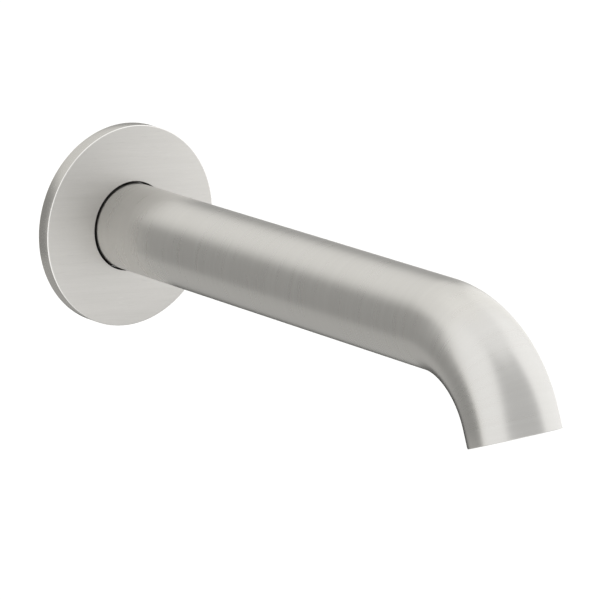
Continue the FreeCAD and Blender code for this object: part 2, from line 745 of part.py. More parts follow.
def make_screen(label, bottom):
    """A woven screen, as a thin disc with square meshes inside its plain edge."""
    opening = "(sizes.screen_pitch - sizes.screen_wire)"
    pitch = number("sizes.screen_pitch")
    half_open = number(opening) / 2
    reach = number(STACK_RING_INNER)
    count = math.ceil(reach / pitch)
    meshes = []
    for column in range(-count, count + 1):
        for line in range(-count, count + 1):
            far_x = abs(column) * pitch + half_open
            far_y = abs(line) * pitch + half_open
            if math.hypot(far_x, far_y) > reach:
                continue
            mesh = doc.addObject("Part::Box", "Mesh")
            height = f"sizes.screen_thickness + 2 * {CUT_MARGIN}"
            bind(mesh, Length=opening, Width=opening, Height=height)
            mesh.setExpression("Placement.Base.x", f"sizes.screen_pitch * {column} - {opening} / 2")
            mesh.setExpression("Placement.Base.y", f"sizes.screen_pitch * {line} - {opening} / 2")
            mesh.setExpression("Placement.Base.z", f"-{CUT_MARGIN}")
            meshes.append(mesh)
    blank = stack_disc(label + "_blank", "sizes.screen_thickness")
    return pierce(label, blank, meshes, bottom)


def make_screen_spacer():
    top = f"{SPACER_BOTTOM} + sizes.spacer_height"
    return turned_on_outlet_axis("screen_spacer", [
        (STACK_RING_INNER, SPACER_BOTTOM),
        (STACK_OUTER, SPACER_BOTTOM),
        (STACK_OUTER, top),
        (STACK_RING_INNER, top),
    ])


def ring_of_holes(body, name, top, depth, radius, ring_radius, count):
    """A ring of small holes through a disc, cut down from its top."""
    hole = drill(body, name, "XY_Plane", top, depth, radius, across=ring_radius)
    spin_copies(body, hole, "Z_Axis", count)


def make_jet_disc():
    """A disc on a short skirt, pierced by two rings of jets and one in the middle."""
    top = f"({JET_DISC_BOTTOM} + sizes.jet_disc_height)"
    under = f"{top} - sizes.jet_plate"
    body = turned_on_outlet_axis("jet_disc", [
        ("0", under),
        (STACK_RING_INNER, under),
        (STACK_RING_INNER, JET_DISC_BOTTOM),
        (STACK_OUTER, JET_DISC_BOTTOM),
        (STACK_OUTER, top),
        ("0", top),
    ])
    jet = "sizes.jet_diameter / 2"
    plate = "sizes.jet_plate"
    drill(body, "MiddleJet", "XY_Plane", top, plate, jet)
    ring_of_holes(body, "InnerJet", top, plate, jet, f"{STACK_RING_INNER} * {INNER_JETS_SHARE}",
                  INNER_JETS)
    ring_of_holes(body, "OuterJet", top, plate, jet, f"{STACK_RING_INNER} * {OUTER_JETS_SHARE}",
                  OUTER_JETS)
    return body


def make_strainer():
    """A hat shaped strainer whose crown stands up through the washer and the seat."""
    crown_foot = f"({STACK_RING_INNER} - sizes.strainer_crown_gap)"
    crown_top = f"({crown_foot} - sizes.strainer_slope)"
    wall = "sizes.strainer_wall"
    body = turned_on_outlet_axis("strainer", [
        ("0", f"{STRAINER_TOP} - {wall}"),
        (f"{crown_top} - {wall}", f"{STRAINER_TOP} - {wall}"),
        (f"{crown_foot} - {wall}", STRAINER_BOTTOM),
        (STACK_OUTER, STRAINER_BOTTOM),
        (STACK_OUTER, STRAINER_RIM_TOP),
        (crown_foot, STRAINER_RIM_TOP),
        (crown_top, STRAINER_TOP),
        ("0", STRAINER_TOP),
    ])
    hole = "sizes.strainer_hole_diameter / 2"
    for ring in range(1, SIEVE_RINGS + 1):
        ring_radius = f"{crown_top} * {ring} / {SIEVE_RINGS + 1}"
        count = SIEVE_HOLES_PER_RING * ring
        ring_of_holes(body, f"Sieve{ring}", STRAINER_TOP, wall, hole, ring_radius, count)
    drill(body, "MiddleSieve", "XY_Plane", STRAINER_TOP, wall, hole)
    return body


pieces = [
    make_spout_tube(),
    make_inlet_socket(),
    make_outlet_seat(),
    make_wall_nipple(),
    make_nipple_seal("nipple_seal_rear", REAR_SEAL_POSITION),
    make_nipple_seal("nipple_seal_front", FRONT_SEAL_POSITION),
    make_thread_seal(),
    make_grub_screw(),
    make_wall_flange(),
    make_flange_grip_ring(),
    make_flange_wall_seal(),
    make_aerator_housing(),
    make_aerator_seal(),
    make_aerator_sleeve(),
    make_flow_grid(),
    make_screen("screen_lower", LOWER_SCREEN_BOTTOM),
    make_screen_spacer(),
    make_screen("screen_upper", UPPER_SCREEN_BOTTOM),
    make_jet_disc(),
    make_strainer(),
]
doc.recompute()

for item in doc.Objects:
    for state in ("Invalid", "Error"):
        if state in item.State:
            raise ValueError(f"{item.Label} is {state}")
for piece in pieces:
    if piece.Shape.isNull() or not piece.Shape.isValid():
        raise ValueError(f"{piece.Label} has no valid shape")

os.makedirs("parts", exist_ok=True)
for piece in pieces:
    piece.Shape.exportStep(f"parts/{piece.Label}.step")
    print(piece.Label, len(piece.Shape.Solids), round(piece.Shape.Volume, 2))
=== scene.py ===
import math

import bmesh
import bpy
from mathutils import Matrix, Vector


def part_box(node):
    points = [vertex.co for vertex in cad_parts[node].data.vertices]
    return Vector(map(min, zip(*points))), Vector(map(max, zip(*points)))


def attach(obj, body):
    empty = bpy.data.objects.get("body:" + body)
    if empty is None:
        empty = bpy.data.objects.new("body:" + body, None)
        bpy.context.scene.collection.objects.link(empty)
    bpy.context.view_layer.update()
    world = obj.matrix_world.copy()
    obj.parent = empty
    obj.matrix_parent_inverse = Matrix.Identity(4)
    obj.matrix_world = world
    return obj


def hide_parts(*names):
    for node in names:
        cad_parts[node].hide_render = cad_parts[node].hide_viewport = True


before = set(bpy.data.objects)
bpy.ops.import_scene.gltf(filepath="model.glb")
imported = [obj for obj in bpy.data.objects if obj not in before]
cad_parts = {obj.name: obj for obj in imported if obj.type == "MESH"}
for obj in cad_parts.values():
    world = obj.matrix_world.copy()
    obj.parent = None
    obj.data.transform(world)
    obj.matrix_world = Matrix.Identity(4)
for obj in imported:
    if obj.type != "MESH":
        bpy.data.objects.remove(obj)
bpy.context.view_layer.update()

MM = 0.001
UP = Vector((0, 0, 1))

# ---------------------------------------------------------------------------------------------
# Measures, in metres. The frame is the part's own: the wall face is the plane y = 0, the spout
# reaches out along -Y and +Z is up.

TUBE_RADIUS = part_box("spout_tube")[1].x
TUBE_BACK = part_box("spout_tube")[1].y
TUBE_WALL = 1.5 * MM
STRAIGHT_LENGTH = 168.5 * MM
BEND_RADIUS = 35.5 * MM
BEND_ANGLE = math.radians(69)
OUTLET_LENGTH = 6.5 * MM
MOUTH_EDGE = 0.2 * MM

FLANGE_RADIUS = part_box("wall_flange")[1].x
FLANGE_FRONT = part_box("wall_flange")[0].y
FLANGE_BORE = TUBE_RADIUS + 0.6 * MM
FLANGE_CHAMFER = 0.3 * MM

SCREW_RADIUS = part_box("grub_screw")[1].x
SCREW_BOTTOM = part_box("grub_screw")[0].z
SCREW_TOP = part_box("grub_screw")[1].z
SCREW_Y = (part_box("grub_screw")[0].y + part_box("grub_screw")[1].y) / 2
SCREW_HOLE = SCREW_RADIUS + 0.25 * MM

PIPE_THREAD_RADIUS = 10.4775 * MM
PIPE_THREAD_PITCH = 1.814 * MM
SEAT_BORE = 12.06 * MM
AERATOR_THREAD_RADIUS = 12.0 * MM
AERATOR_THREAD_PITCH = 1.0 * MM
SMALL_EDGE = 0.05 * MM
CUT_MARGIN = 1.0 * MM

BEND_CENTRE = Vector((0, -STRAIGHT_LENGTH, -BEND_RADIUS))
BEND_END = BEND_CENTRE + Matrix.Rotation(BEND_ANGLE, 3, "X") @ UP * BEND_RADIUS
OUTLET_WAY = Matrix.Rotation(BEND_ANGLE, 3, "X") @ Vector((0, -1, 0))
MOUTH = BEND_END + OUTLET_WAY * OUTLET_LENGTH

# The outlet's upright frame starts at the centre of the mouth, with +Z upstream. The wall frame
# has +Z into the wall, for pieces that are turned on the wall axis.
OUTLET_TILT = BEND_ANGLE - math.radians(90)
OUTLET_FRAME = Matrix.Translation(MOUTH) @ Matrix.Rotation(OUTLET_TILT, 4, "X")
WALL_FRAME = Matrix.Rotation(math.radians(-90), 4, "X")

# ---------------------------------------------------------------------------------------------
# Shader maths


class Value:
    """A shader value. Arithmetic on it adds Math nodes to its tree."""

    def __init__(self, shader, socket):
        self.shader = shader
        self.socket = socket

    def math(self, operation, *operands):
        sockets = dict(enumerate(operands))
        return self.shader.add("ShaderNodeMath", {"operation": operation}, sockets)

    def output(self, place):
        """Another output of the node that this value comes from."""
        return Value(self.shader, self.socket.node.outputs[place])

    def __add__(self, other):
        return self.math("ADD", self, other)

    __radd__ = __add__

    def __sub__(self, other):
        return self.math("SUBTRACT", self, other)

    def __rsub__(self, other):
        return self.math("SUBTRACT", other, self)

    def __mul__(self, other):
        return self.math("MULTIPLY", self, other)

    __rmul__ = __mul__


class Shader:
    """An emptied node tree, filled by one method."""

    def __init__(self, tree):
        self.tree = tree
        self.tree.nodes.clear()

    def add(self, kind, settings, sockets, output=0):
        """Add a node: its settings first, then the values or links of its sockets."""
        node = self.tree.nodes.new(kind)
        for name, setting in settings.items():
            setattr(node, name, setting)
        for place, value in sockets.items():
            if isinstance(value, Value):
                self.tree.links.new(value.socket, node.inputs[place])
            else:
                node.inputs[place].default_value = value
        if len(node.outputs) == 0:
            return None
        return Value(self, node.outputs[output])

    def ramp(self, value, low, high, to_low=0.0, to_high=1.0):
        """A smooth step from to_low to to_high while a value goes from low to high."""
        settings = {"interpolation_type": "SMOOTHSTEP", "clamp": True}
        sockets = {0: value, 1: low, 2: high, 3: to_low, 4: to_high}
        return self.add("ShaderNodeMapRange", settings, sockets)

    def mix_colour(self, factor, first, second):
        sockets = {0: factor, 6: first, 7: second}
        return self.add("ShaderNodeMix", {"data_type": "RGBA"}, sockets, output=2)

    def scaled(self, place, scales, turn=(0.0, 0.0, 0.0)):
        """A place that is turned, then scaled along each axis, in cycles per metre."""
        turned = self.add("ShaderNodeMapping", {}, {"Vector": place, "Rotation": turn})
        return self.add("ShaderNodeMapping", {}, {"Vector": turned, "Scale": scales})

    def noise(self, place, scale=1.0, detail=2.0):
        sockets = {"Vector": place, "Scale": scale, "Detail": detail}
        return self.add("ShaderNodeTexNoise", {"noise_dimensions": "3D"}, sockets)

    def object_place(self):
        return self.add("ShaderNodeTexCoord", {}, {}, output=3)

    def unrolled_place(self):
        """A place on the bent tube as if the tube were straight, with y along it."""
        settings = {"attribute_name": "unrolled"}
        return self.add("ShaderNodeAttribute", settings, {}, output=1)

    def finish_surface(self, base, roughness, metallic, height, strength, distance):
        """The shader that every surface of the part ends in."""
        sockets = {"Height": height, "Strength": strength, "Distance": distance}
        normal = self.add("ShaderNodeBump", {}, sockets)
        sockets = {
            "Base Color": base,
            "Roughness": roughness,
            "Metallic": metallic,
            "Normal": normal,
        }
        surface = self.add("ShaderNodeBsdfPrincipled", {}, sockets)
        self.add("ShaderNodeOutputMaterial", {}, {"Surface": surface})


def rgb(red, green, blue):
    return (red, green, blue, 1.0)


# ---------------------------------------------------------------------------------------------
# Finishes


def new_material(name):
    material = bpy.data.materials.new(name)
    material.use_nodes = True
    return material, Shader(material.node_tree)


def brushed_tube_steel():
    """Satin stainless steel whose brush marks run around the tube."""
    material, shader = new_material("brushed_tube_steel")
    place = shader.unrolled_place()
    hairlines = shader.noise(shader.scaled(place, (70, 1500, 70)), detail=1.0)
    strokes = shader.noise(shader.scaled(place, (30, 700, 30)), detail=1.0)
    clouds = shader.noise(place, 38.0)
    marks = 0.20 * hairlines + 0.80 * strokes
    base = shader.mix_colour(marks, rgb(0.600, 0.590, 0.567), rgb(0.659, 0.650, 0.627))
    roughness = 0.225 + 0.08 * marks + 0.04 * clouds
    shader.finish_surface(base, roughness, 1.0, marks, 0.03, 0.012 * MM)
    return material


def brushed_flange_steel():
    """The same steel, its face brushed in short level strokes and its rim smoother, with a
    painted highlight on the front chamfer and painted shade on the rim's side.
    """
    material, shader = new_material("brushed_flange_steel")
    place = shader.object_place()
    lean = (0.0, math.radians(-6), 0.0)
    hairlines = shader.noise(shader.scaled(place, (60, 2800, 2800), lean), detail=3.0)
    strokes = shader.noise(shader.scaled(place, (30, 700, 700), lean))
    flecks = shader.noise(shader.scaled(place, (190, 1700, 1700), lean))
    dark_flecks = shader.ramp(flecks, 0.30, 0.40, 1.0, 0.0)
    bright_flecks = shader.ramp(flecks, 0.62, 0.72)
    marks = 0.35 * hairlines + 0.45 * strokes + 0.20 * bright_flecks - 0.20 * dark_flecks
    base = shader.mix_colour(marks, rgb(0.590, 0.577, 0.550), rgb(0.720, 0.707, 0.680))
    depth = shader.add("ShaderNodeSeparateXYZ", {}, {0: place}, output=1)
    # 1 on the front chamfer and the rim's side. Its brighter colour, left showing on the chamfer,
    # is a painted highlight; its lower roughness and full metal are a real smoother finish.
    rim = shader.ramp(depth, FLANGE_FRONT + 0.05 * MM, FLANGE_FRONT + 0.12 * MM)
    # The rim's side behind the chamfer gets a darker colour: painted shade.
    painted_side_shade = shader.ramp(depth, FLANGE_FRONT + FLANGE_CHAMFER, FLANGE_FRONT + 2 * FLANGE_CHAMFER)
    base = shader.mix_colour(rim, base, rgb(0.820, 0.810, 0.785))
    base = shader.mix_colour(painted_side_shade, base, rgb(0.545, 0.535, 0.512))
    roughness = 0.44 + 0.10 * marks - 0.22 * rim
    metallic = 0.86 + 0.14 * rim
    height = marks * (1 - rim)
    shader.finish_surface(base, roughness, metallic, height, 0.25, 0.012 * MM)
    return material


def turned_metal(name, dark, bright, smoothest, lines, turn=(0.0, 0.0, 0.0)):
    """Metal with the fine rings that a lathe leaves, and a little staining."""
    material, shader = new_material(name)
    place = shader.object_place()
    rings = shader.noise(shader.scaled(place, lines, turn), detail=3.0)
    stain = shader.noise(place, 170.0, 3.0)
    base = shader.mix_colour(0.6 * rings + 0.4 * stain, dark, bright)
    roughness = smoothest + 0.14 * rings + 0.08 * stain
    shader.finish_surface(base, roughness, 1.0, rings, 0.35, 0.015 * MM)
    return material


def grained(name, dark, bright, smoothest, grain, relief):
    """Rubber, foam, fibre or moulded plastic, with an even grain."""
    material, shader = new_material(name)
    place = shader.object_place()
    speckle = shader.noise(place, grain, 4.0)
    flow = shader.noise(place, 90.0)
    base = shader.mix_colour(0.6 * speckle + 0.4 * flow, dark, bright)
    roughness = smoothest + 0.18 * speckle
    shader.finish_surface(base, roughness, 0.0, speckle, 0.4, relief)
    return material


RINGS_ON_WALL_AXIS = (300, 4200, 300)
RINGS_ON_OUTLET_AXIS = (300, 300, 4200)
TO_OUTLET_AXIS = (-OUTLET_TILT, 0.0, 0.0)

TUBE_STEEL = brushed_tube_steel()
FLANGE_STEEL = brushed_flange_steel()
SOCKET_STEEL = turned_metal(
    "turned_socket_steel", rgb(0.52, 0.515, 0.505), rgb(0.66, 0.655, 0.645), 0.24,
    RINGS_ON_WALL_AXIS)
SEAT_STEEL = turned_metal(
    "turned_seat_steel", rgb(0.52, 0.515, 0.505), rgb(0.66, 0.655, 0.645), 0.24,
    RINGS_ON_OUTLET_AXIS, TO_OUTLET_AXIS)
HOUSING_STEEL = turned_metal(
    "turned_housing_steel", rgb(0.50, 0.495, 0.485), rgb(0.64, 0.635, 0.62), 0.22,
    RINGS_ON_OUTLET_AXIS, TO_OUTLET_AXIS)
SCREW_STEEL = turned_metal(
    "dark_screw_steel", rgb(0.30, 0.30, 0.30), rgb(0.45, 0.445, 0.44), 0.28,
    RINGS_ON_OUTLET_AXIS)
BRASS = turned_metal(
    "turned_brass", rgb(0.62, 0.43, 0.18), rgb(0.82, 0.62, 0.31), 0.20, RINGS_ON_WALL_AXIS)
WIRE_STEEL = turned_metal(
    "screen_wire_steel", rgb(0.48, 0.48, 0.47), rgb(0.66, 0.66, 0.64), 0.26,
    (2400, 2400, 2400))
RUBBER = grained(
    "black_rubber", rgb(0.007, 0.007, 0.008), rgb(0.020, 0.020, 0.021), 0.52, 2600.0, 0.03 * MM)
FOAM = grained(
    "grey_foam", rgb(0.050, 0.050, 0.053), rgb(0.135, 0.135, 0.140), 0.76, 1400.0, 0.25 * MM)
FIBRE = grained(
    "red_fibre", rgb(0.20, 0.050, 0.036), rgb(0.37, 0.105, 0.075), 0.66, 2400.0, 0.06 * MM)
PALE_PLASTIC = grained(
    "pale_plastic", rgb(0.62, 0.63, 0.62), rgb(0.78, 0.79, 0.78), 0.34, 1800.0, 0.02 * MM)
GREY_PLASTIC = grained(
    "grey_plastic", rgb(0.23, 0.24, 0.25), rgb(0.34, 0.35, 0.36), 0.36, 1800.0, 0.02 * MM)

# ---------------------------------------------------------------------------------------------
# Mesh helpers


def finish_piece(bm, name, body, node, material, smooth_degrees=30):
    """Make a mesh the visible piece that stands for a CAD node and rides on a body."""
    mesh = bpy.data.meshes.new(name)
    bm.to_mesh(mesh)
    bm.free()
    mesh.materials.append(material)
    mesh.shade_smooth()
    mesh.set_sharp_from_angle(angle=math.radians(smooth_degrees))
    piece = bpy.data.objects.new(name, mesh)
    bpy.context.scene.collection.objects.link(piece)
    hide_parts(node)
    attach(piece, body)
    return piece


def place(bm, matrix):
    bmesh.ops.transform(bm, matrix=matrix, verts=bm.verts)
    return bm


def face_outwards(bm):
    """Point the faces of a closed mesh outwards."""
    bmesh.ops.recalc_face_normals(bm, faces=bm.faces)
    if bm.calc_volume(signed=True) < 0:
        bmesh.ops.reverse_faces(bm, faces=bm.faces)
    return bm


def lathe(outline, segments=96, edge_break=0.0):
    """Turn a closed outline of (radius, height) points about Z and break its corners."""
    bm = bmesh.new()
    points = [bm.verts.new((radius, 0, height)) for radius, height in outline]
    edges = [bm.edges.new(pair) for pair in zip(points, points[1:] + points[:1])]
    bmesh.ops.spin(
        bm, geom=points + edges, cent=(0, 0, 0), axis=UP, dvec=(0, 0, 0), angle=math.tau,
        steps=segments, use_merge=True, use_normal_flip=False, use_duplicate=False)
    face_outwards(bm)
    if edge_break:
        corners = [edge for edge in bm.edges if edge.calc_face_angle() > math.radians(25)]
        bmesh.ops.bevel(
            bm, geom=corners, offset=edge_break, offset_type="OFFSET", segments=1,
            profile=0.5, affect="EDGES", material=-1, clamp_overlap=True)
    return bm


def thread_rod(crest, root, pitch, low, high, end_break=0.0, segments=64):
    """A closed rod about Z with a real screw thread, cut off square at both ends."""
    flat = pitch / 8
    flank = (pitch - 2 * flat) / 2
    turns = math.ceil((high - low) / pitch) + 2
    start = low - pitch
    tooth = [
        (root, start),
        (root, start + flat),
        (crest, start + flat + flank),
        (crest, start + 2 * flat + flank),
        (root, start + pitch),
    ]
    bm = bmesh.new()
    points = [bm.verts.new((radius, 0, height)) for radius, height in tooth]
    edges = [bm.edges.new(pair) for pair in zip(points, points[1:])]
    bmesh.ops.spin(
        bm, geom=points + edges, cent=(0, 0, 0), axis=UP, dvec=(0, 0, pitch / segments),
        angle=math.tau * turns, steps=segments * turns, use_merge=False,
        use_normal_flip=False, use_duplicate=False)
    bmesh.ops.remove_doubles(bm, verts=bm.verts, dist=0.001 * MM)
    for height, outwards in ((low, -UP), (high, UP)):
        bmesh.ops.bisect_plane(
            bm, geom=bm.verts[:] + bm.edges[:] + bm.faces[:], dist=0.0001 * MM,
            plane_co=UP * height, plane_no=outwards, clear_outer=True, clear_inner=False)
    for vertex in bm.verts:
        to_end = min(vertex.co.z - low, high - vertex.co.z)
        limit = crest - max(end_break - to_end, 0)
        radius = math.hypot(vertex.co.x, vertex.co.y)
        if radius > limit:
            vertex.co.x *= limit / radius
            vertex.co.y *= limit / radius
    open_edges = [edge for edge in bm.edges if edge.is_boundary]
    bmesh.ops.holes_fill(bm, edges=open_edges, sides=0)
    return face_outwards(bm)


def prism(sides, radius, low, high, turn=0.0):
    """A closed upright prism about Z."""
    bm = bmesh.new()
    matrix = Matrix.Translation(UP * (low + high) / 2) @ Matrix.Rotation(turn, 4, "Z")
    bmesh.ops.create_cone(
        bm, cap_ends=True, cap_tris=False, segments=sides, radius1=radius, radius2=radius,
        depth=high - low, matrix=matrix)
    return bm


def combine(first, second, operation):
    """Join a second closed mesh to a first one, or cut it out of it."""
    items = []
    for shape in (first, second):
        mesh = bpy.data.meshes.new("shape")
        shape.to_mesh(mesh)
        shape.free()
        item = bpy.data.objects.new("shape", mesh)
        bpy.context.scene.collection.objects.link(item)
        items.append(item)
    modifier = items[0].modifiers.new("combine", "BOOLEAN")
    modifier.operation = operation
    modifier.solver = "EXACT"
    modifier.object = items[1]
    result = bmesh.new()
    result.from_object(items[0], bpy.context.evaluated_depsgraph_get())
    for item in items:
        mesh = item.data
        bpy.data.objects.remove(item)
        bpy.data.meshes.remove(mesh)
    return result


# ---------------------------------------------------------------------------------------------
# The spout: the bent tube and the threaded seat in its mouth


def unroll(point):
    """Where a point of the bent tube would be if the tube were straight."""
    if point.y > -STRAIGHT_LENGTH:
        return Vector((point.x, -point.y, point.z))
    arm = point - BEND_CENTRE
    swept = math.atan2(-arm.y, arm.z)
    along = STRAIGHT_LENGTH + BEND_RADIUS * min(swept, BEND_ANGLE)
    if swept < BEND_ANGLE:
        return Vector((point.x, along, math.hypot(arm.y, arm.z) - BEND_RADIUS))
    past = Matrix.Rotation(-BEND_ANGLE, 3, "X") @ (point - BEND_END)
    return Vector((point.x, along - past.y, past.z))


def mark_unrolled(piece):
    """Store each point's unrolled place, which the brush marks follow."""
    store = piece.data.attributes.new("unrolled", "FLOAT_VECTOR", "POINT")
    for vertex in piece.data.vertices:
        store.data[vertex.index].vector = unroll(vertex.co)


def whole_section(faces):
    """The faces of a tube's end section with all their edges and points."""
    edges = {edge for face in faces for edge in face.edges}
    points = {vertex for face in faces for vertex in face.verts}
    return list(points) + list(edges) + list(faces)


def run_on(bm, section, way):
    """Extrude a tube's end section by one straight step and return the new section."""
    grown = bmesh.ops.extrude_face_region(bm, geom=whole_section(section))["geom"]
    moved = [item for item in grown if isinstance(item, bmesh.types.BMVert)]
    bmesh.ops.translate(bm, verts=moved, vec=way)
    return [item for item in grown if isinstance(item, bmesh.types.BMFace)]


def bend_on(bm, section):
    """Sweep a tube's end section round the bend and return the new section."""
    swept = bmesh.ops.spin(
        bm, geom=whole_section(section), cent=BEND_CENTRE, axis=(1, 0, 0), dvec=(0, 0, 0),
        angle=BEND_ANGLE, steps=60, use_merge=False, use_normal_flip=False,
        use_duplicate=False)
    return [item for item in swept["geom_last"] if isinstance(item, bmesh.types.BMFace)]


def is_mouth_edge(edge):
    level = all(abs((vertex.co - MOUTH).dot(OUTLET_WAY)) < 0.01 * MM for vertex in edge.verts)
    return level and edge.calc_face_angle() > math.radians(60)


def make_spout_tube():
    around = 144
    straight_steps = 12
    hole_depth = 4 * MM
    bm = bmesh.new()
    for radius in (TUBE_RADIUS, TUBE_RADIUS - TUBE_WALL):
        bmesh.ops.create_circle(
            bm, cap_ends=False, segments=around, radius=radius, matrix=WALL_FRAME)
    bmesh.ops.bridge_loops(bm, edges=bm.edges[:])
    bmesh.ops.translate(bm, verts=bm.verts, vec=(0, TUBE_BACK, 0))
    section = bm.faces[:]
    step = (STRAIGHT_LENGTH + TUBE_BACK) / straight_steps
    for _ in range(straight_steps):
        section = run_on(bm, section, Vector((0, -step, 0)))
    section = bend_on(bm, section)
    run_on(bm, section, OUTLET_WAY * OUTLET_LENGTH)
    face_outwards(bm)
    mouth_edges = [edge for edge in bm.edges if is_mouth_edge(edge)]
    bmesh.ops.bevel(
        bm, geom=mouth_edges, offset=MOUTH_EDGE, offset_type="OFFSET", segments=3,
        profile=0.5, affect="EDGES", material=-1)
    hole = prism(48, SCREW_HOLE, -TUBE_RADIUS - 2 * CUT_MARGIN, -TUBE_RADIUS + hole_depth)
    bm = combine(bm, place(hole, Matrix.Translation((0, SCREW_Y, 0))), "DIFFERENCE")
    piece = finish_piece(bm, "spout_tube_shell", "spout", "spout_tube",
                         TUBE_STEEL)
    mark_unrolled(piece)


def make_outlet_seat():
    outer = 13.47 * MM
    relief = 12.40 * MM
    throat = 9.36 * MM
    bottom = 0.80 * MM
    thread_bottom = 4.50 * MM
    taper_bottom = 6.50 * MM
    taper_top_radius = 13.22 * MM
    shoulder = 10.00 * MM
    top = 11.20 * MM
    bm = lathe([
        (relief, bottom),
        (outer, bottom),
        (outer, taper_bottom),
        (taper_top_radius, top),
        (throat, top),
        (throat, shoulder),
        (SEAT_BORE, shoulder),
        (SEAT_BORE, thread_bottom + relief - SEAT_BORE),
        (relief, thread_bottom),
    ], segments=120, edge_break=SMALL_EDGE)
    groove_root = 12.55 * MM
    groove_crest = 12.02 * MM
    tap = thread_rod(
        groove_root, groove_crest, AERATOR_THREAD_PITCH, 4.2 * MM, 9.8 * MM, segments=90)
    bm = combine(bm, tap, "DIFFERENCE")
    finish_piece(place(bm, OUTLET_FRAME), "outlet_seat_ring", "spout", "outlet_seat",
                 SEAT_STEEL)


# ---------------------------------------------------------------------------------------------
# The wall flange


def make_wall_flange():
    plate = 2.0 * MM
    rim_wall = 2.0 * MM
    hub_wall = 4.9 * MM
    groove_depth = 1.8 * MM
    groove_width = 2.2 * MM
    hollow = FLANGE_FRONT + plate
    rim = FLANGE_RADIUS - rim_wall
    hub = FLANGE_BORE + hub_wall
    hub_back = -0.8 * MM
    groove = FLANGE_BORE + groove_depth
    groove_front = (FLANGE_FRONT + hub_back) / 2 - groove_width / 2
    groove_back = (FLANGE_FRONT + hub_back) / 2 + groove_width / 2
    bm = lathe([
        (FLANGE_BORE, FLANGE_FRONT),
        (FLANGE_RADIUS - FLANGE_CHAMFER, FLANGE_FRONT),
        (FLANGE_RADIUS, FLANGE_FRONT + FLANGE_CHAMFER),
        (FLANGE_RADIUS, 0),
        (rim, 0),
        (rim, hollow),
        (hub, hollow),
        (hub, hub_back),
        (FLANGE_BORE, hub_back),
        (FLANGE_BORE, groove_back),
        (groove, groove_back),
        (groove, groove_front),
        (FLANGE_BORE, groove_front),
    ], segments=192, edge_break=SMALL_EDGE)
    finish_piece(place(bm, WALL_FRAME), "wall_flange_plate", "flange", "wall_flange",
                 FLANGE_STEEL)


# ---------------------------------------------------------------------------------------------
# The wall connection and its grub screw


def seal_groove(middle, spigot):
    """The corners of a seal groove in the spigot, from its room side to its wall side."""
    half = 1.3 * MM
    bottom = 8.7 * MM
    return [
        (spigot, middle - half),
        (bottom, middle - half),
        (bottom, middle + half),
        (spigot, middle + half),
    ]


def make_wall_nipple():
    spigot = 10.5 * MM
    spigot_end = 9.3 * MM
    lead = 2.4 * MM
    waterway = 6.0 * MM
    collar = 13.2 * MM
    core = 9.1 * MM
    room_end = -34.0 * MM
    collar_front = 1.0 * MM
    collar_back = 5.0 * MM
    wall_end = 22.0 * MM
    outline = [(waterway, room_end), (spigot_end, room_end), (spigot, room_end + lead)]
    outline += seal_groove(-28.0 * MM, spigot)
    outline += seal_groove(-20.0 * MM, spigot)
    outline += [
        (spigot, collar_front),
        (collar, collar_front),
        (collar, collar_back),
        (core, collar_back),
        (core, wall_end),
        (waterway, wall_end),
    ]
    bm = lathe(outline, edge_break=0.12 * MM)
    root = 9.32 * MM
    thread_start = 8.0 * MM
    thread_end = 21.7 * MM
    thread = thread_rod(
        PIPE_THREAD_RADIUS, root, PIPE_THREAD_PITCH, thread_start, thread_end,
        end_break=1.3 * MM, segments=72)
    core_hole = prism(72, 7.5 * MM, thread_start - CUT_MARGIN, wall_end + CUT_MARGIN)
    thread = combine(thread, core_hole, "DIFFERENCE")
    bm = combine(bm, thread, "UNION")
    key_radius = waterway / math.cos(math.radians(30))
    key = prism(6, key_radius, room_end - CUT_MARGIN, room_end + 10 * MM)
    bm = combine(bm, key, "DIFFERENCE")
    finish_piece(place(bm, WALL_FRAME), "wall_nipple_body", "wall_connection", "wall_nipple",
                 BRASS)


def make_grub_screw():
    root = 2.05 * MM
    pitch = 0.8 * MM
    key_flats = 2.5 * MM
    key_depth = 2.0 * MM
    bm = thread_rod(
        SCREW_RADIUS, root, pitch, SCREW_BOTTOM, SCREW_TOP, end_break=0.55 * MM, segments=48)
    key_radius = key_flats / 2 / math.cos(math.radians(30))
    key = prism(6, key_radius, SCREW_BOTTOM - CUT_MARGIN, SCREW_BOTTOM + key_depth)
    bm = combine(bm, key, "DIFFERENCE")
    place(bm, Matrix.Translation((0, SCREW_Y, 0)))
    finish_piece(bm, "grub_screw_thread", "grub_screw", "grub_screw",
                 SCREW_STEEL)


# ---------------------------------------------------------------------------------------------
# The aerator's housing


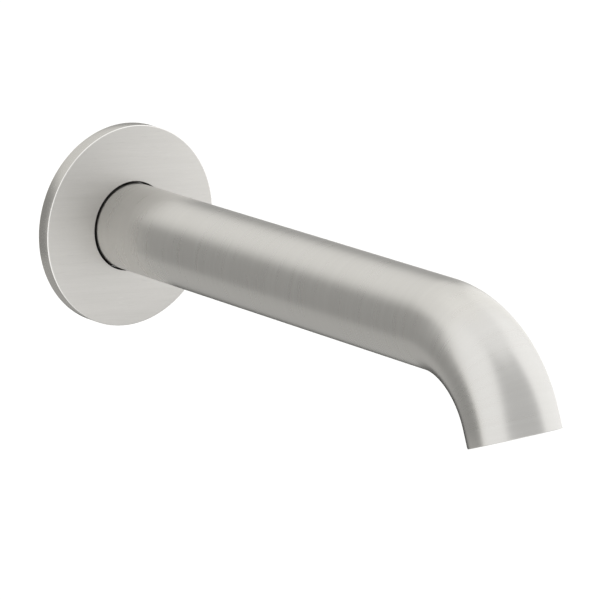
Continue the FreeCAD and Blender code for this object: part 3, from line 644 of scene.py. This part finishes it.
def make_aerator_housing():
    ledge = 9.6 * MM
    inside = 10.7 * MM
    body = 11.45 * MM
    skirt = 11.8 * MM
    chamfer = 0.3 * MM
    bottom = 1.0 * MM
    ledge_top = 1.8 * MM
    skirt_top = 4.3 * MM
    body_bottom = 4.45 * MM
    top = 8.4 * MM
    bm = lathe([
        (ledge, bottom),
        (skirt - chamfer, bottom),
        (skirt, bottom + chamfer),
        (skirt, skirt_top),
        (body, body_bottom),
        (body, top),
        (inside, top),
        (inside, ledge_top),
        (ledge, ledge_top),
    ], segments=120, edge_break=SMALL_EDGE)
    root = 11.5 * MM
    thread = thread_rod(
        AERATOR_THREAD_RADIUS, root, AERATOR_THREAD_PITCH, 4.5 * MM, 8.35 * MM,
        end_break=0.5 * MM, segments=96)
    thread = combine(thread, prism(96, 11.0 * MM, 4.0 * MM, 9.0 * MM), "DIFFERENCE")
    bm = combine(bm, thread, "UNION")
    slots = 12
    slot_size = Matrix.Diagonal((2.0 * MM, 1.6 * MM, 2.0 * MM, 1))
    slot_place = Matrix.Translation((9.5 * MM, 0, 0.9 * MM))
    for index in range(slots):
        turn = Matrix.Rotation(math.tau * index / slots, 4, "Z")
        slot = bmesh.new()
        bmesh.ops.create_cube(slot, size=1.0, matrix=turn @ slot_place @ slot_size)
        bm = combine(bm, slot, "DIFFERENCE")
    finish_piece(place(bm, OUTLET_FRAME), "aerator_housing_ring", "aerator", "aerator_housing",
                 HOUSING_STEEL)


# ---------------------------------------------------------------------------------------------
# CAD pieces that keep their shape


def finish_cad_pieces():
    finishes = {
        "inlet_socket": SOCKET_STEEL,
        "nipple_seal_rear": RUBBER,
        "nipple_seal_front": RUBBER,
        "thread_seal": FIBRE,
        "flange_grip_ring": RUBBER,
        "flange_wall_seal": FOAM,
        "aerator_seal": RUBBER,
        "aerator_sleeve": GREY_PLASTIC,
        "flow_grid": PALE_PLASTIC,
        "screen_lower": WIRE_STEEL,
        "screen_upper": WIRE_STEEL,
        "screen_spacer": PALE_PLASTIC,
        "jet_disc": PALE_PLASTIC,
        "strainer": GREY_PLASTIC,
    }
    for node, material in finishes.items():
        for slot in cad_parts[node].material_slots:
            slot.material = material


# ---------------------------------------------------------------------------------------------
# Camera, light and floor


def make_camera():
    azimuth = math.radians(-38.704)
    elevation = math.radians(14.817)
    roll = math.radians(0.271)
    distance = 1.327273
    aim = Vector((0, -0.090, 0))
    shift_right = 0.004877
    shift_up = -0.008263
    back = Vector((math.sin(azimuth) * math.cos(elevation),
                   -math.cos(azimuth) * math.cos(elevation),
                   math.sin(elevation)))
    level_right = UP.cross(back).normalized()
    level_up = back.cross(level_right)
    right = level_right * math.cos(roll) + level_up * math.sin(roll)
    upward = level_up * math.cos(roll) - level_right * math.sin(roll)
    lens = bpy.data.cameras.new("camera")
    lens.sensor_width = 36.0
    lens.lens = 243.57
    lens.clip_start = 0.05
    lens.clip_end = 100.0
    camera = bpy.data.objects.new("camera", lens)
    bpy.context.scene.collection.objects.link(camera)
    turned = Matrix((right, upward, back)).transposed().to_4x4()
    spot = aim + back * distance + right * shift_right + upward * shift_up
    camera.matrix_world = Matrix.Translation(spot) @ turned
    bpy.context.scene.camera = camera


# Soft panels around the spout: middle azimuth and half width, lowest and highest elevation, the
# softness of the edges, all in degrees, and the panel's brightness. Azimuth 0 is the room's side,
# straight out of the wall, and 90 is the right. A later panel hides an earlier one.
PANELS = [
    ("wall_shade", 180, 68, -90, 90, 8, 0.40),
    ("wall_top", 180, 68, 28, 90, 21, 1.02),
    ("wall_bottom", 180, 68, -90, -26, 8, 0.57),
    ("left_panel", -88, 31, -60, 75, 4, 1.22),
    ("right_low", 86, 46, -90, -30, 8, 0.60),
    ("right_panel", 74, 34, -30, 75, 5, 1.32),
    ("right_edge", 118, 14, -30, 75, 3, 1.22),
    ("front_low", -18, 42, -60, -6, 14, 1.25),
    ("front_screen", -8, 42, -6, 62, 14, 0.72),
    ("ceiling", 0, 400, 58, 100, 16, 1.14),
    ("far_flag", 152, 19, -34, -10, 5, 0.05),
]
ROOM_LEVEL = 0.98
SHADE_TINT = rgb(1.0, 0.992, 0.968)


def panel_mask(shader, azimuth, elevation, panel):
    """1 inside a panel, falling to 0 over its soft edges."""
    _, middle, half_width, low, high, soft, _ = panel
    half = soft / 2
    turned = azimuth.math("WRAP", azimuth - middle, 180.0, -180.0)
    offset = turned.math("ABSOLUTE", turned)
    across = shader.ramp(offset, half_width - half, half_width + half, 1.0, 0.0)
    above = shader.ramp(elevation, low - half, low + half)
    below = shader.ramp(elevation, high - half, high + half, 1.0, 0.0)
    return above * below * across


def make_light():
    world = bpy.data.worlds.new("studio")
    world.use_nodes = True
    bpy.context.scene.world = world
    shader = Shader(world.node_tree)
    way = shader.add("ShaderNodeTexCoord", {}, {}, output=0)
    x = shader.add("ShaderNodeSeparateXYZ", {}, {0: way})
    y = x.output(1)
    z = x.output(2)
    azimuth = x.math("ARCTAN2", x, 0 - y) * math.degrees(1)
    elevation = z.math("ARCSINE", z) * math.degrees(1)
    glow = ROOM_LEVEL
    for panel in PANELS:
        glow = glow + panel_mask(shader, azimuth, elevation, panel) * (panel[-1] - glow)
    shade = panel_mask(shader, azimuth, elevation, PANELS[0])
    seen = shader.add("ShaderNodeLightPath", {}, {})
    tint = shader.mix_colour(shade * (1 - seen), rgb(1, 1, 1), SHADE_TINT)
    strength = glow + seen * (1.0 - glow)
    backdrop = shader.add("ShaderNodeBackground", {}, {"Color": tint, "Strength": strength})
    shader.add("ShaderNodeOutputWorld", {}, {"Surface": backdrop})


def make_floor():
    """A plain pale floor well below the spout. It doesn't hide the spout from below."""
    bm = bmesh.new()
    bmesh.ops.create_grid(
        bm, x_segments=1, y_segments=1, size=12.0, matrix=Matrix.Translation((0, 0, -0.30)))
    mesh = bpy.data.meshes.new("floor")
    bm.to_mesh(mesh)
    bm.free()
    floor = bpy.data.objects.new("floor", mesh)
    bpy.context.scene.collection.objects.link(floor)
    material, shader = new_material("pale_floor")
    matt = shader.add("ShaderNodeBsdfDiffuse", {}, {"Color": rgb(0.93, 0.93, 0.925)})
    lift = shader.add("ShaderNodeEmission", {}, {"Color": rgb(1, 1, 1), "Strength": 0.11})
    paint = shader.add("ShaderNodeAddShader", {}, {0: matt, 1: lift})
    clear = shader.add("ShaderNodeBsdfTransparent", {}, {})
    from_below = shader.add("ShaderNodeNewGeometry", {}, {}, output=6)
    surface = shader.add("ShaderNodeMixShader", {}, {0: from_below, 1: paint, 2: clear})
    shader.add("ShaderNodeOutputMaterial", {}, {"Surface": surface})
    mesh.materials.append(material)
    floor.visible_glossy = False


make_spout_tube()
make_outlet_seat()
make_wall_flange()
make_wall_nipple()
make_grub_screw()
make_aerator_housing()
finish_cad_pieces()
make_camera()
make_light()
make_floor()
bpy.context.scene.view_settings.view_transform = "Standard"
